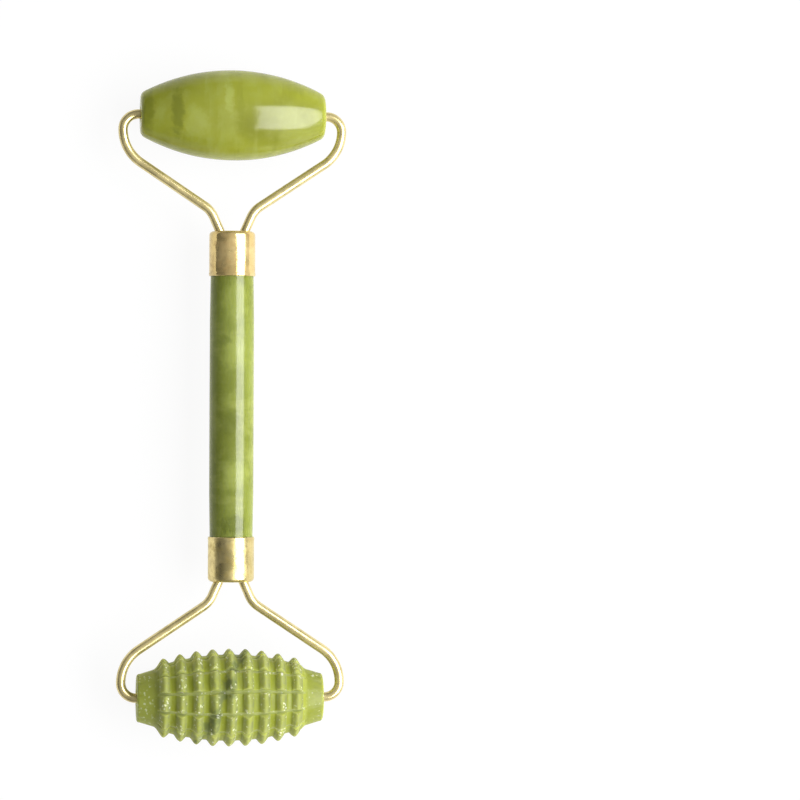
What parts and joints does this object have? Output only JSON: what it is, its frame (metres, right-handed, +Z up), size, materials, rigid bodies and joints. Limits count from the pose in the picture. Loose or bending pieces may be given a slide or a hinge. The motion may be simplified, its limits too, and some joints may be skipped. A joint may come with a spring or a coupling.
{
  "type": "facial massage roller",
  "caption": "Double-ended facial massage roller: a stone grip with a wire yoke at each end, one carrying a smooth barrel stone and the other a studded stone, both free to spin.",
  "frame": {"origin": "middle of the grip rod, on its axis", "axes": "+Y along the grip to the smooth barrel stone, +X along the stones' axles, +Z square to the plane of the yokes; the roller lies on its two stones with +Z up"},
  "size_m": [0.0504, 0.1494, 0.0216],
  "materials": {
    "jade_rod": "polished",
    "jade_smooth": "polished",
    "jade_studded": "satin",
    "gold_ferrule": "polished",
    "gold_wire": "polished",
    "nylon": "matte",
    "epoxy": "gloss"
  },
  "bodies": {
    "handle": {"handle_rod": "jade_rod", "upper_ferrule": "gold_ferrule", "lower_ferrule": "gold_ferrule", "upper_yoke_wire": "gold_wire", "lower_yoke_wire": "gold_wire", "upper_epoxy_plug": "epoxy", "lower_epoxy_plug": "epoxy"},
    "large_roller": {"large_roller_stone": "jade_smooth", "large_roller_left_bush": "nylon", "large_roller_right_bush": "nylon"},
    "ridged_roller": {"ridged_roller_stone": "jade_studded", "ridged_roller_left_bush": "nylon", "ridged_roller_right_bush": "nylon"}
  },
  "joints": [
    {"name": "large_roller_spin", "type": "hinge", "parent": "handle", "child": "large_roller", "pos_m": [0, 0.06435, 0], "axis": [1, 0, 0], "continuous": true},
    {"name": "ridged_roller_spin", "type": "hinge", "parent": "handle", "child": "ridged_roller", "pos_m": [0, -0.06435, 0], "axis": [1, 0, 0], "continuous": true}
  ]
}
